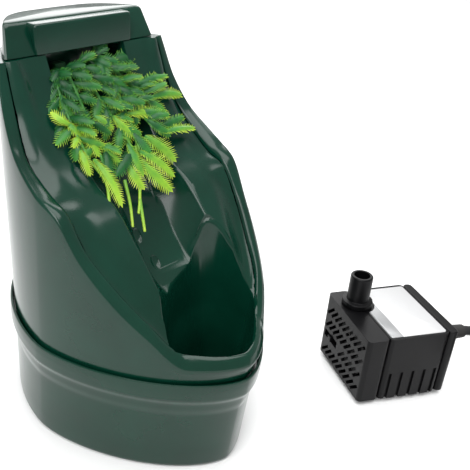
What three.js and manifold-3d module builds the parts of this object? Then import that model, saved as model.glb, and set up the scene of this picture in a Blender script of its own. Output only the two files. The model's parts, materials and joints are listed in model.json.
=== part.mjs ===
// Small waterfall drinking fountain with its submersible pump standing beside it.
// Millimetres, +Z up, the bowl's lip at -Y, origin on the tub's underside.
import * as THREE from 'three';
import { mergeVertices } from 'three/addons/utils/BufferGeometryUtils.js';
import Module from 'manifold-3d';

const wasm = await Module();
wasm.setup();

// ---------------------------------------------------------------- driving dimensions
const GAP = 0.3;                 // clearance between neighbouring pieces
const WALL = 2.4;                // moulded wall
const COLUMNS = 60;              // facets round the oval

const TUB_TOP = 60.3;            // top of the tub's collar
const TOWER_TOP = 206;           // top of the cover
const SEAM = 190.3;              // where the cover sits on the tower
const SKIRT = 50;                // bottom edge of the tower, inside the collar
const LEDGE = SKIRT - GAP;       // ledge in the tub that the tower stands on
const TUB_FLOOR = 2.6;

// An oval is [half width, front reach, back reach, y of widest point, front power, back power].
const TUB_BOTTOM = [62.1, 81.3, 76.9, 3.9, 1.56, 1.9];
const TUB_WALL_TOP = [61.6, 82.2, 82.8, -1.9, 1.56, 1.9];
const TOWER_LOW = [61.5, 82.1, 82.7, -1.9, 1.56, 1.9];
const TOWER_HIGH = [55.6, 123, 79.5, -1.6, 1.46, 2.2];

// The collar's flare outwards from the tub's wall: [z, flare].
const FLARE = [[0, 0], [38, 0], [43, 0.8], [47, 1.3], [51, 2.6], [55, 2.6], [60.3, 2.2]];

// The wave of the rim along the tower: [y, height of outer crease, rim width, inner edge's rise].
const RIM = [
  [-90, 69.5, 4, 3.6], [-72, 69.5, 6, 5], [-58.5, 85, 5.2, 5], [-44, 100, 6.4, 3.9],
  [-28.6, 116.8, 6, 2.2], [-15, 134.7, 7.5, 0], [-3.6, 140, 8.6, -1.5], [5, 144.7, 7.9, -2],
  [18, 153.3, 6, -2], [30, 169.3, 5.6, -2], [37, 187, 4.2, -1.2], [41, 197, 3.6, -1], [90, 198, 3.6, -1],
];
// Height of the two banks beside the channel: [y, z].
const BANK = [[-90, 73], [-75, 74], [-63, 81], [-47, 100], [-30, 117], [-16, 129.5], [0, 137.5],
  [18, 155.6], [30, 174], [37, 189], [45, 206], [90, 212]];
// The channel's floor: [y, z, half width of floor, half width at the bank].
const CHANNEL = [[-47, 87.5, 13, 22], [-36, 90, 13, 22], [-30, 92.5, 13, 22], [-18, 104, 12, 22],
  [-5.5, 120, 11.5, 22], [10, 133, 13, 22.5], [30, 147, 19, 23.5], [50, 160, 22.5, 24]];
// The drinking well's mouth, seen from above.
const WELL = [[13, -30], [22, -30], [27, -36.5], [30, -48], [30.5, -60], [23, -67], [16, -73],
  [9, -78.5], [0, -81.5], [-9, -78.5], [-16, -73], [-23, -67], [-28, -62.5], [-22, -47], [-11, -41], [-2, -35]];
const WELL_CENTRE = [0, -55];
// How the well narrows on its way down: [z, share of x, share of y].
const WELL_TAPER = [[13, 0.8, 0.64], [50, 0.9, 0.74], [73, 1, 1], [150, 1, 1]];
const WELL_FLOOR = 13;

// Half outlines of the top cover, from its front corner to the middle of its back.
const COVER_TOP = [[41.3, 44.7], [38.5, 50], [33.5, 58], [27, 65], [17, 69], [0, 69.8]];
const COVER_FOOT = [[45, 38.3], [43.5, 44], [39, 53.5], [32, 63.5], [22, 70.5], [0, 73.2]];
const LIP_HALF = 29;             // half width of the box-shaped lip above the spout
const LIP_FRONT = 37.2;
const LIP_TOP = 205;

const HOSE_Y = 63.5;             // riser hose's line behind the channel
const SPOUT_Z = 173;             // height of the spout elbow

// Pump, in its own frame: front at -Y, floor at Z = 0.
const PUMP_AT = [121.5, -87.5];
const PUMP_TURN = -118;          // degrees about Z
const PUMP_W = 50;
const PUMP_FRONT = -27;
const PUMP_BACK = 27;
const PUMP_LOW = 3;
const PUMP_HIGH = 45;
const COVER_BACK = -14.5;        // back edge of the intake cover
const CAP_FRONT = 21.5;          // front edge of the rear cap
const ROTOR_Z = 23;              // height of the rotor's axis
const CHAMBER_FRONT = -22.6;     // front of the impeller chamber, inside the intake cover
const NOZZLE_X = -11;
const NOZZLE_Y = -16;
const LEVER_X = -14;             // middle of the regulator's slot in the intake cover

// Mains cord.
const CORD_D = 6;
const CORD_Z = 24;

// ---------------------------------------------------------------- materials
const finish = (color, roughness, metalness = 0) =>
  new THREE.MeshStandardMaterial({ color, roughness, metalness });
const GREEN = () => finish(0x1d4a3c, 0.3);
const BLACK = () => finish(0x16171a, 0.5);
const RUBBER = () => finish(0x1a1a1a, 0.8);
const LEAF = () => finish(0x4f8a2c, 0.6);
const STEEL = () => finish(0xb8bcc0, 0.3, 1);

// ---------------------------------------------------------------- small helpers
const lerp = (a, b, t) => a + (b - a) * t;
const clamp = (v, lo, hi) => Math.min(hi, Math.max(lo, v));

// Smooth value of column `k` in a table of rows ordered by their first entry.
function along(table, at, k = 1) {
  const last = table.length - 1;
  if (at <= table[0][0]) return table[0][k];
  if (at >= table[last][0]) return table[last][k];
  let i = 0;
  while (at > table[i + 1][0]) i += 1;
  const slope = (j) => (table[j + 1][k] - table[j][k]) / (table[j + 1][0] - table[j][0]);
  const tangent = (j) => {
    if (j === 0) return slope(0);
    if (j === last) return slope(last - 1);
    const a = slope(j - 1);
    const b = slope(j);
    return a * b <= 0 ? 0 : (2 * a * b) / (a + b);
  };
  const h = table[i + 1][0] - table[i][0];
  const t = (at - table[i][0]) / h;
  const t2 = t * t;
  const t3 = t2 * t;
  return (2 * t3 - 3 * t2 + 1) * table[i][k] + (t3 - 2 * t2 + t) * h * tangent(i)
    + (3 * t2 - 2 * t3) * table[i + 1][k] + (t3 - t2) * h * tangent(i + 1);
}

// Closed body through a stack of equal loops, capped at both ends.
function loft(loops, startCentre, endCentre) {
  const n = loops[0].length;
  const points = [];
  loops.forEach((loop) => loop.forEach((p) => points.push(...p)));
  const middle = (loop) => [0, 1, 2].map((k) => loop.reduce((s, p) => s + p[k], 0) / n);
  points.push(...(startCentre || middle(loops[0])));
  points.push(...(endCentre || middle(loops[loops.length - 1])));
  const first = loops.length * n;
  const index = [];
  for (let r = 0; r < loops.length - 1; r += 1) {
    for (let i = 0; i < n; i += 1) {
      const j = (i + 1) % n;
      const a = r * n;
      const b = (r + 1) * n;
      index.push(a + i, a + j, b + j, a + i, b + j, b + i);
    }
  }
  const top = (loops.length - 1) * n;
  for (let i = 0; i < n; i += 1) {
    const j = (i + 1) % n;
    index.push(first, j, i, first + 1, top + i, top + j);
  }
  const geometry = new THREE.BufferGeometry();
  geometry.setAttribute('position', new THREE.Float32BufferAttribute(points, 3));
  geometry.setIndex(index);
  return geometry;
}

function toSolid(geometry) {
  const bare = geometry.clone();
  bare.deleteAttribute('normal');
  bare.deleteAttribute('uv');
  const merged = mergeVertices(bare, 1e-4);
  return new wasm.Manifold(new wasm.Mesh({
    numProp: 3,
    vertProperties: new Float32Array(merged.attributes.position.array),
    triVerts: new Uint32Array(merged.index.array),
  }));
}

function toGeometry(body) {
  const mesh = body.getMesh();
  const geometry = new THREE.BufferGeometry();
  geometry.setAttribute('position', new THREE.BufferAttribute(new Float32Array(mesh.vertProperties), 3));
  geometry.setIndex(new THREE.BufferAttribute(new Uint32Array(mesh.triVerts), 1));
  return geometry;
}

const cut = (body, ...tools) => tools.reduce((b, tool) => b.subtract(tool), body);
const join = (body, ...more) => more.reduce((b, extra) => b.add(extra), body);

function box(x0, x1, y0, y1, z0, z1) {
  const geometry = new THREE.BoxGeometry(x1 - x0, y1 - y0, z1 - z0);
  geometry.translate((x0 + x1) / 2, (y0 + y1) / 2, (z0 + z1) / 2);
  return toSolid(geometry);
}

// Upright block with rounded vertical corners.
function block(x0, x1, y0, y1, z0, z1, radius, steps = 3) {
  const shape = new THREE.Shape();
  shape.moveTo(x0 + radius, y0);
  shape.lineTo(x1 - radius, y0);
  shape.absarc(x1 - radius, y0 + radius, radius, -Math.PI / 2, 0);
  shape.absarc(x1 - radius, y1 - radius, radius, 0, Math.PI / 2);
  shape.absarc(x0 + radius, y1 - radius, radius, Math.PI / 2, Math.PI);
  shape.absarc(x0 + radius, y0 + radius, radius, Math.PI, Math.PI * 1.5);
  const geometry = new THREE.ExtrudeGeometry(shape, { depth: z1 - z0, bevelEnabled: false, curveSegments: steps });
  geometry.translate(0, 0, z0);
  return toSolid(geometry);
}

// Closed body turned about Z from [radius, z] pairs that close on themselves or on the axis.
function turned(profile, sides = 24) {
  const geometry = new THREE.LatheGeometry(profile.map(([r, z]) => new THREE.Vector2(r, z)), sides);
  return geometry.rotateX(Math.PI / 2);
}

function rod(radius, z0, z1, sides = 20) {
  return turned([[0, z0], [radius, z0], [radius, z1], [0, z1]], sides);
}

function sleeve(inner, outer, z0, z1, sides = 24) {
  return turned([[inner, z0], [outer, z0], [outer, z1], [inner, z1], [inner, z0]], sides);
}

// Turns a Z-axis geometry so that it runs along +Y from the given point.
function layAlongY(geometry, x, y, z) {
  geometry.rotateX(-Math.PI / 2);
  geometry.translate(x, y, z);
  return geometry;
}

// Round bar or pipe along a curve.
function pipe(curve, outer, inner, steps, sides = 12) {
  const shape = new THREE.Shape();
  shape.absarc(0, 0, outer, 0, Math.PI * 2);
  if (inner > 0) {
    const hole = new THREE.Path();
    hole.absarc(0, 0, inner, 0, Math.PI * 2, true);
    shape.holes.push(hole);
  }
  return new THREE.ExtrudeGeometry(shape, { steps, extrudePath: curve, curveSegments: sides });
}

const vec = (x, y, z) => new THREE.Vector3(x, y, z);
const group = new THREE.Group();
group.name = 'waterfall_fountain';

function addTo(parent, name, geometry, material) {
  const mesh = new THREE.Mesh(geometry, material);
  mesh.name = name;
  parent.add(mesh);
  return mesh;
}

// ---------------------------------------------------------------- ovals
function ovalPoint(oval, inset, angle) {
  const [half, front, back, mid, frontPower, backPower] = oval;
  const c = Math.cos(angle);
  const s = Math.sin(angle);
  const power = s < 0 ? frontPower : backPower;
  const reach = (s < 0 ? front : back) - inset;
  const bend = (v) => Math.sign(v) * Math.abs(v) ** (2 / power);
  return [(half - inset) * bend(c), mid + reach * bend(s)];
}

const blend = (low, high, t) => low.map((v, i) => lerp(v, high[i], t));
const tubOval = (z) => blend(TUB_BOTTOM, TUB_WALL_TOP, z / TUB_TOP);
const towerOval = (z) => blend(TOWER_LOW, TOWER_HIGH, (z - TUB_TOP) / (TOWER_TOP - TUB_TOP));

const angles = Array.from({ length: COLUMNS }, (_, i) => (i / COLUMNS) * Math.PI * 2);
const ovalLoop = (oval, inset, z) => angles.map((a) => [...ovalPoint(oval, inset, a), z]);

// ---------------------------------------------------------------- base tub
function baseTub() {
  const outside = [[0, 3], [0.8, 0.8], [3, 0], [38, 0], [43, 0], [47, 0], [51, 0], [55, 0], [TUB_TOP, 0]];
  const loops = outside.map(([z, inset]) => ovalLoop(tubOval(z), inset - along(FLARE, z), z));
  const inside = [[TUB_TOP, -0.9], [LEDGE, -0.6], [LEDGE, 3.6], [30, WALL], [TUB_FLOOR + 2, WALL + 0.4],
    [TUB_FLOOR, WALL + 3]];
  inside.forEach(([z, inset]) => loops.push(ovalLoop(tubOval(z), inset, z)));
  return loft(loops, [0, 0, 0], [0, 0, TUB_FLOOR]);
}
addTo(group, 'base_tub', baseTub(), GREEN());

// ---------------------------------------------------------------- tower shell
// Place and height of the rim's outer crease at an angle.
function crease(angle) {
  let z = 120;
  let place = [0, 0];
  for (let i = 0; i < 40; i += 1) {
    place = ovalPoint(towerOval(z), 0, angle);
    z = lerp(z, along(RIM, place[1], 1), 0.5);
  }
  return { y: place[1], z };
}

// Height of the bank surface a given way in from the rim.
function bankHeight(y, rimHeight, wayIn) {
  const t = clamp(wayIn / 14, 0, 1);
  return lerp(rimHeight - 2.4, along(BANK, y, 1), t * t * (3 - 2 * t));
}

const CENTRE = [0, -8];
const SHARES = [0.06, 0.14, 0.25, 0.38, 0.52, 0.68, 0.84];

// One column of the tower's skin: wall, rim and bank, lowered and inset for the core.
function towerColumn(angle, inset, drop, bottom) {
  const { y, z } = crease(angle);
  const width = along(RIM, y, 2);
  const rise = along(RIM, y, 3);
  const column = [];
  const put = (share, height) => {
    const [px, py] = ovalPoint(towerOval(z), inset + share * (width - inset * 0.4), angle);
    column.push([px, py, z + height - drop]);
  };
  [0, 0.5].forEach((t) => {
    const h = lerp(bottom, z - 3, t);
    column.push([...ovalPoint(towerOval(h), inset, angle), h]);
  });
  put(0, 0);
  put(0.2, rise * 0.35 + 0.7);
  put(0.6, rise * 0.75 + 0.8);
  put(1, rise);
  const [ex, ey] = ovalPoint(towerOval(z), inset * 0.6 + width + 0.7, angle);
  const rimHeight = z + rise;
  SHARES.forEach((share) => {
    const px = lerp(ex, CENTRE[0], share - SHARES[0]);
    const py = lerp(ey, CENTRE[1], share - SHARES[0]);
    const wayIn = Math.hypot(px - ex, py - ey);
    const slope = (along(BANK, py + 1, 1) - along(BANK, py - 1, 1)) / 2;
    column.push([px, py, bankHeight(py, rimHeight, wayIn) - drop * Math.hypot(1, slope) * 0.85]);
  });
  return column;
}

function towerSkin(inset, drop, bottom) {
  const columns = angles.map((a) => towerColumn(a, inset, drop, bottom));
  const loops = columns[0].map((_, row) => columns.map((column) => column[row]));
  const top = along(BANK, CENTRE[1], 1) - drop * 1.2;
  return toSolid(loft(loops, [CENTRE[0], CENTRE[1], bottom], [CENTRE[0], CENTRE[1], top]));
}

// Body along the channel: trapezoid sections, `grow` mm fatter all round.
function channelBody(grow) {
  const ends = CHANNEL.map(([y]) => y);
  ends[ends.length - 1] += grow;
  const loops = ends.map((y, i) => {
    const [, floor, foot, mouth] = CHANNEL[i];
    const bank = along(BANK, y, 1);
    const top = Math.max(bank, floor + 20) + 30;
    const spread = (mouth - foot) / Math.max(bank - floor, 12);
    const wide = Math.min(mouth + spread * 8, foot + spread * (top - floor), 25) + grow;
    const low = foot + grow;
    return [[-low, y, floor - grow], [low, y, floor - grow], [mouth + grow, y, bank - 1],
      [wide, y, top], [-wide, y, top], [-mouth - grow, y, bank - 1]];
  });
  return toSolid(loft(loops.reverse()));
}

function wellLoop(z, grow) {
  const sx = along(WELL_TAPER, z, 1);
  const sy = along(WELL_TAPER, z, 2);
  const ring = WELL.map(([x, y]) => [
    WELL_CENTRE[0] + (x - WELL_CENTRE[0]) * sx, WELL_CENTRE[1] + (y - WELL_CENTRE[1]) * sy]);
  const n = ring.length;
  return ring.map(([x, y], i) => {
    const [ax, ay] = ring[(i + n - 1) % n];
    const [bx, by] = ring[(i + 1) % n];
    const length = Math.hypot(bx - ax, by - ay);
    return [x - ((by - ay) / length) * grow, y + ((bx - ax) / length) * grow, z];
  }).reverse();
}

function wellBody(heights, grow) {
  return toSolid(loft(heights.map((z) => wellLoop(z, grow))));
}

function towerShell() {
  const lid = box(-90, 90, -120, 120, SEAM, 260);
  const skin = towerSkin(0, 0, SKIRT);
  const lower = box(-90, 90, -120, 120, SEAM - WALL, 260);
  const core = cut(towerSkin(WALL, WALL, SKIRT - 6), lower, channelBody(WALL),
    wellBody([WELL_FLOOR - WALL, 50, 73, 150], 2));
  const cup = wellBody([WELL_FLOOR - WALL, 50, 73], 2);
  const access = box(-20, 20, 55, 68, SEAM - 6, SEAM + 4);
  const port = toSolid(layAlongY(rod(6.3 + GAP, -4, 8), 0, 48, SPOUT_Z));
  let shell = cut(skin, lid, core);
  shell = join(shell, cup);
  shell = cut(shell, channelBody(0), wellBody([WELL_FLOOR, 50, 73, 150], 0), access, port);
  for (let i = 0; i < 5; i += 1) {
    const drain = rod(2.2, WELL_FLOOR - 6, WELL_FLOOR + 3, 10);
    drain.translate(-12 + i * 6, -55, 0);
    shell = cut(shell, toSolid(drain));
  }
  return toGeometry(shell);
}
addTo(group, 'tower_shell', towerShell(), GREEN());

// ---------------------------------------------------------------- top cover
function coverLoop(t, inset, z) {
  const half = COVER_TOP.map((p, i) => [
    lerp(COVER_FOOT[i][0], p[0], t), lerp(COVER_FOOT[i][1], p[1], t)]);
  const sideways = half.map(([x, y]) => {
    const scale = (x - inset) / Math.max(x, 1);
    return [Math.max(x * scale, 0), y > 50 ? y - inset * clamp((y - 50) / 15, 0, 1) : y + inset * (50 - y) / 12];
  });
  const left = sideways.slice(0, -1).map(([x, y]) => [-x, y]).reverse();
  return [...sideways, ...left].map(([x, y]) => [x, y, z]);
}

function topCover() {
  const foot = SEAM + GAP;
  const level = (z) => (z - SEAM) / (TOWER_TOP - SEAM);
  const outside = toSolid(loft([
    coverLoop(0, 0, foot), coverLoop(level(TOWER_TOP - 2.2), 0, TOWER_TOP - 2.2),
    coverLoop(level(TOWER_TOP - 0.6), 0.6, TOWER_TOP - 0.6), coverLoop(1, 2.2, TOWER_TOP)]));
  const lip = toSolid(loft([foot, LIP_TOP - 0.8, LIP_TOP].map((z, i) => {
    const d = i === 2 ? 0.8 : 0;
    return [[-LIP_HALF + d, LIP_FRONT + d, z], [LIP_HALF - d, LIP_FRONT + d, z], [LIP_HALF - d, 50, z],
      [-LIP_HALF + d, 50, z]];
  })));
  const hollow = toSolid(loft([
    coverLoop(0, WALL, foot - 3), coverLoop(level(TOWER_TOP - 5), WALL, TOWER_TOP - 5),
    coverLoop(level(TOWER_TOP - WALL), WALL + 1.5, TOWER_TOP - WALL)]));
  const lipHollow = box(-LIP_HALF + 2, LIP_HALF - 2, LIP_FRONT + 2, 50, foot - 3, LIP_TOP - 2.2);
  const tabs = [-1, 1].map((side) => box(
    Math.min(side * 19.5, side * 17.7), Math.max(side * 19.5, side * 17.7), 58, 65, SEAM - 5, TOWER_TOP - WALL + 0.5));
  return toGeometry(join(cut(join(outside, lip), hollow, lipHollow), ...tabs));
}
addTo(group, 'top_cover', topCover(), GREEN());

// ---------------------------------------------------------------- riser hose and spout elbow
const hoseTop = 150;
const hose = sleeve(6.3, 7.6, SKIRT + 4, hoseTop, 20);
hose.translate(0, HOSE_Y, 0);
addTo(group, 'riser_hose', hose, finish(0x8f9a94, 0.35));

const elbowLine = new THREE.CurvePath();
const bend = 8.5;
elbowLine.add(new THREE.LineCurve3(vec(0, HOSE_Y, hoseTop - 14), vec(0, HOSE_Y, SPOUT_Z - bend)));
elbowLine.add(new THREE.QuadraticBezierCurve3(
  vec(0, HOSE_Y, SPOUT_Z - bend), vec(0, HOSE_Y, SPOUT_Z), vec(0, HOSE_Y - bend, SPOUT_Z)));
elbowLine.add(new THREE.LineCurve3(vec(0, HOSE_Y - bend, SPOUT_Z), vec(0, 46, SPOUT_Z)));
addTo(group, 'spout_elbow', pipe(elbowLine, 6, 4.4, 18, 8), GREEN());

[84, 122].forEach((z, i) => {
  const back = ovalPoint(towerOval(z), WALL, Math.PI / 2)[1];
  const clip = cut(
    join(toSolid(sleeve(7.9, 9.6, z, z + 8, 20).translate(0, HOSE_Y, 0)),
      box(-4, 4, HOSE_Y + 8.6, back - 1.2, z, z + 8)),
    box(-4.5, 4.5, HOSE_Y - 12, HOSE_Y - 4, z - 1, z + 9));
  addTo(group, `hose_clip_${i + 1}`, toGeometry(clip), GREEN());
});

// ---------------------------------------------------------------- artificial plant
// A drooping leafy mass: sections from the spout down over the channel, [x, y, z, half width, half depth].
function spray(line, sides = 10) {
  const loops = line.map(([x, y, z, half, depth], i) => {
    const a = line[Math.max(i - 1, 0)];
    const b = line[Math.min(i + 1, line.length - 1)];
    const run = vec(b[0] - a[0], b[1] - a[1], b[2] - a[2]).normalize();
    const across = vec(1, 0, 0).addScaledVector(run, -run.x).normalize();
    const out = new THREE.Vector3().crossVectors(across, run).normalize();
    return Array.from({ length: sides }, (_, k) => {
      const t = (k / sides) * Math.PI * 2;
      const p = vec(x, y, z).addScaledVector(across, half * Math.cos(t)).addScaledVector(out, -depth * Math.sin(t));
      return p.toArray();
    });
  });
  return loft(loops);
}
const plant = new THREE.Group();
plant.name = 'plant';
group.add(plant);
addTo(plant, 'plant_peg', toGeometry(join(
  toSolid(rod(3, 158.6, 181, 12).translate(-13, 44, 0)),
  box(-16, -10, 41.5, 47, 180.7, 184))), LEAF());
addTo(plant, 'plant_spray_left', spray([
  [-14, 36, 176, 6.5, 5], [-17, 22, 171, 8.5, 6], [-18, 6, 160, 10, 6], [-17.5, -8, 148, 10, 6],
  [-15, -22, 134, 7.5, 4.5], [-11, -32, 118, 3, 2.5]]), LEAF());
addTo(plant, 'plant_spray_middle', spray([
  [6, 37, 177, 10, 6], [6.5, 22, 171, 12, 7], [7, 6, 160, 12.5, 7], [7, -8, 147, 12, 7], [6, -20, 132, 10, 6],
  [5, -30, 115, 6, 4]]), LEAF());
addTo(plant, 'plant_spray_right', spray([
  [23.5, 30, 186, 5.5, 4], [27, 22, 179, 8, 5.5], [31, 10, 170, 9, 6], [33, -2, 162, 8, 6],
  [33, -12, 154, 5, 4]]), LEAF());

// ---------------------------------------------------------------- pump
const pump = new THREE.Group();
pump.name = 'pump';
pump.position.set(PUMP_AT[0], PUMP_AT[1], 0);
pump.rotation.z = THREE.MathUtils.degToRad(PUMP_TURN);
group.add(pump);
const halfW = PUMP_W / 2;

const atAxis = (geometry, y) => layAlongY(geometry, 0, y, ROTOR_Z);
const groove = (side, y) => box(
  Math.min(side * 23.8, side * 26), Math.max(side * 23.8, side * 26), y - 0.9, y + 0.9, PUMP_LOW - 1, 21);
const LABEL = [23, COVER_BACK + 1.6, CAP_FRONT - 1.4];

// Housing: impeller chamber and its outlet stand out at the front, the stator pocket is open to the back.
function pumpHousing() {
  const front = COVER_BACK + GAP;
  const body = block(-halfW, halfW, front, CAP_FRONT - GAP, PUMP_LOW, PUMP_HIGH, 2.5);
  const ringBody = toSolid(atAxis(rod(16.5, 0, front + 1 - CHAMBER_FRONT, 32), CHAMBER_FRONT));
  const head = box(NOZZLE_X - 8.5, NOZZLE_X + 8.5, CHAMBER_FRONT - 0.4, front + 1, 28, PUMP_HIGH - 3.6);
  const recess = toSolid(atAxis(rod(14.8, -2, 4.4, 32), CHAMBER_FRONT));
  const volute = toSolid(atAxis(rod(12.5, 0, 11.6, 28), CHAMBER_FRONT));
  const rotorWell = toSolid(atAxis(rod(7.5, -12, 7.8, 24), 0));
  const outlet = toSolid(rod(3.6, ROTOR_Z, PUMP_HIGH, 16).translate(NOZZLE_X, NOZZLE_Y + 0.6, 0));
  const socket = toSolid(rod(6.6, PUMP_HIGH - 9, PUMP_HIGH + 1, 24).translate(NOZZLE_X, NOZZLE_Y, 0));
  const pocket = block(-20, 20, -8, CAP_FRONT + 2, PUMP_LOW + 2.5, PUMP_HIGH - 3, 2);
  const rotorTube = toSolid(atAxis(rod(9.3, -9, 10, 24), 0));
  const labelSeat = cut(
    box(-LABEL[0] - 0.4, LABEL[0] + 0.4, LABEL[1] - 0.4, LABEL[2] + 0.4, PUMP_HIGH - 0.6, PUMP_HIGH + 1),
    toSolid(rod(9.6, PUMP_HIGH - 2, PUMP_HIGH + 2, 32).translate(NOZZLE_X, NOZZLE_Y, 0)));
  const grooves = [-10, -3, 4, 11, 17.5].flatMap((y) => [groove(-1, y), groove(1, y)]);
  const shell = join(cut(join(body, ringBody, head), pocket), rotorTube);
  return toGeometry(cut(shell, recess, volute, rotorWell, outlet, socket, labelSeat, ...grooves));
}
addTo(pump, 'pump_housing', pumpHousing(), BLACK());

function rearCap() {
  const plate = block(-halfW, halfW, CAP_FRONT, PUMP_BACK, PUMP_LOW, PUMP_HIGH, 2.5);
  return toGeometry(cut(plate, toSolid(layAlongY(rod(5, 0, 12, 16), 0, CAP_FRONT - 4, CORD_Z))));
}
addTo(pump, 'rear_cap', rearCap(), BLACK());

// Intake cover: box open at the back, rows of leaning slots, notched on top for the outlet.
function intakeCover() {
  const shell = cut(
    block(-halfW, halfW, PUMP_FRONT, COVER_BACK, PUMP_LOW, PUMP_HIGH, 2.5),
    box(-halfW + 2, halfW - 2, PUMP_FRONT + 2, COVER_BACK + 2, PUMP_LOW + 2, PUMP_HIGH - 2));
  const slots = [];
  [8.6, 17.8, 27, 36.2].forEach((z, row) => {
    for (let i = 0; i < 9; i += 1) {
      const x = (i - 4) * 4.6;
      if (row !== 1 || x > LEVER_X + 11) {
        const slot = new THREE.BoxGeometry(1.9, 8, 9);
        slot.rotateY(Math.PI / 4);
        slot.translate(x, PUMP_FRONT, z);
        slots.push(toSolid(slot));
      }
    }
  });
  const leverSlot = box(LEVER_X - 7.5, LEVER_X + 7.5, PUMP_FRONT - 2, PUMP_FRONT + 3, 16.6, 21.2);
  const notch = join(
    toSolid(rod(6.9, PUMP_HIGH - 3, PUMP_HIGH + 1, 24).translate(NOZZLE_X, NOZZLE_Y, 0)),
    box(NOZZLE_X - 6.9, NOZZLE_X + 6.9, NOZZLE_Y, COVER_BACK + 1, PUMP_HIGH - 3, PUMP_HIGH + 1));
  return toGeometry(cut(shell, ...slots, leverSlot, notch));
}
addTo(pump, 'intake_cover', intakeCover(), BLACK());

const lever = join(
  box(LEVER_X - 5, LEVER_X + 5, PUMP_FRONT + 2.3, PUMP_FRONT + 3.7, 14.2, 23.6),
  box(LEVER_X - 1.6, LEVER_X + 1.6, PUMP_FRONT - 1.2, PUMP_FRONT + 3, 17.2, 20.6));
addTo(pump, 'flow_regulator', toGeometry(lever), BLACK());

// Plate in front of the impeller: an open eye with a hub on three arms.
function chamberCover() {
  let plate = join(toSolid(sleeve(8.2, 14.5, 0, 2.5, 32)), toSolid(sleeve(3.2, 4.8, 0, 3.6, 16)));
  for (let i = 0; i < 3; i += 1) {
    const arm = new THREE.BoxGeometry(4.6, 1.6, 2);
    arm.translate(6.4, 0, 1.2);
    arm.rotateZ((i * Math.PI * 2) / 3 + Math.PI / 6);
    plate = join(plate, toSolid(arm));
  }
  return atAxis(toGeometry(plate), CHAMBER_FRONT + GAP);
}
addTo(pump, 'chamber_cover', chamberCover(), BLACK());
addTo(pump, 'seal_ring', atAxis(sleeve(12.8, 14.5, 0, 1.2, 32), CHAMBER_FRONT + 3), RUBBER());

function impeller() {
  let wheel = toSolid(sleeve(1.35, 4.4, 0, 4.6, 16));
  for (let i = 0; i < 6; i += 1) {
    const blade = new THREE.BoxGeometry(8.2, 1.3, 4.6);
    blade.translate(7.2, 0, 2.3);
    blade.rotateZ((i * Math.PI) / 3);
    wheel = join(wheel, toSolid(blade));
  }
  return atAxis(toGeometry(wheel), -17.4);
}
addTo(pump, 'impeller', impeller(), finish(0xd8d8d0, 0.4));
addTo(pump, 'rotor_magnet', atAxis(sleeve(1.35, 6.6, 0, 16, 20), -12.4), finish(0x3a3a3e, 0.5));
addTo(pump, 'rotor_shaft', atAxis(rod(1.05, 0, 26.4, 12), -21), STEEL());
addTo(pump, 'bush_front', atAxis(
  turned([[0, 0], [2.9, 0], [2.9, 2.8], [1.35, 2.8], [1.35, 1], [0, 1]], 14), CHAMBER_FRONT + 0.5), RUBBER());
addTo(pump, 'bush_rear', atAxis(
  turned([[0, 2.4], [1.35, 2.4], [1.35, 0], [3, 0], [3, 3.6], [0, 3.6]], 14), 4.1), RUBBER());

// Stator: iron core with its legs either side of the rotor tube, winding on the top yoke.
const core = cut(box(-15, 15, -6, 8, 7, 41), box(-9.9, 9.9, -7, 9, 13.1, 33.4), box(-6, 6, -7, 9, 4, 14));
addTo(pump, 'stator_core', toGeometry(core), finish(0x55585c, 0.5, 0.6));
const winding = cut(box(-9, 9, -7.6, 9.6, 32.4 + GAP, 41.9), box(-12, 12, -6.3, 8.3, 33.1, 41.3));
addTo(pump, 'stator_winding', toGeometry(winding), finish(0x9c5a2a, 0.4, 0.5));

const label = cut(
  block(-LABEL[0], LABEL[0], LABEL[1], LABEL[2], PUMP_HIGH - 0.4, PUMP_HIGH + 0.15, 1.2),
  toSolid(rod(10, PUMP_HIGH - 2, PUMP_HIGH + 2, 32).translate(NOZZLE_X, NOZZLE_Y, 0)));
addTo(pump, 'label_plate', toGeometry(label), finish(0xc4c8cc, 0.3));

const nozzle = turned([
  [4.4, PUMP_HIGH - 8.5], [6.25, PUMP_HIGH - 8.5], [6.25, PUMP_HIGH + GAP], [8.6, PUMP_HIGH + GAP],
  [8.6, PUMP_HIGH + 3.4], [6.25, PUMP_HIGH + 3.9], [6.25, PUMP_HIGH + 19.4], [5.7, PUMP_HIGH + 20],
  [4.4, PUMP_HIGH + 20], [4.4, PUMP_HIGH - 8.5]], 24);
addTo(pump, 'outlet_nozzle', nozzle.translate(NOZZLE_X, NOZZLE_Y, 0), BLACK());

[[-15, -6], [15, -6], [-15, 16], [15, 16]].forEach(([x, y], i) => {
  const foot = turned([[0, 0], [5.6, 0], [5.9, 0.7], [3.4, PUMP_LOW - GAP], [0, PUMP_LOW - GAP]], 16);
  addTo(pump, `suction_foot_${i + 1}`, foot.translate(x, y, 0), RUBBER());
});

// ---------------------------------------------------------------- cord, in the pump's frame
const cordHalf = CORD_D / 2;
const glandEnd = PUMP_BACK + 24;
const gland = turned([[cordHalf + GAP, 0], [4.7, 0], [4.7, 6], [7, 6.2], [7, 9], [5.2, 9.4], [4, 29],
  [cordHalf + GAP, 29], [cordHalf + GAP, 0]], 16);
addTo(pump, 'cord_gland', layAlongY(gland, 0, CAP_FRONT + 0.5, CORD_Z), RUBBER());

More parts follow.
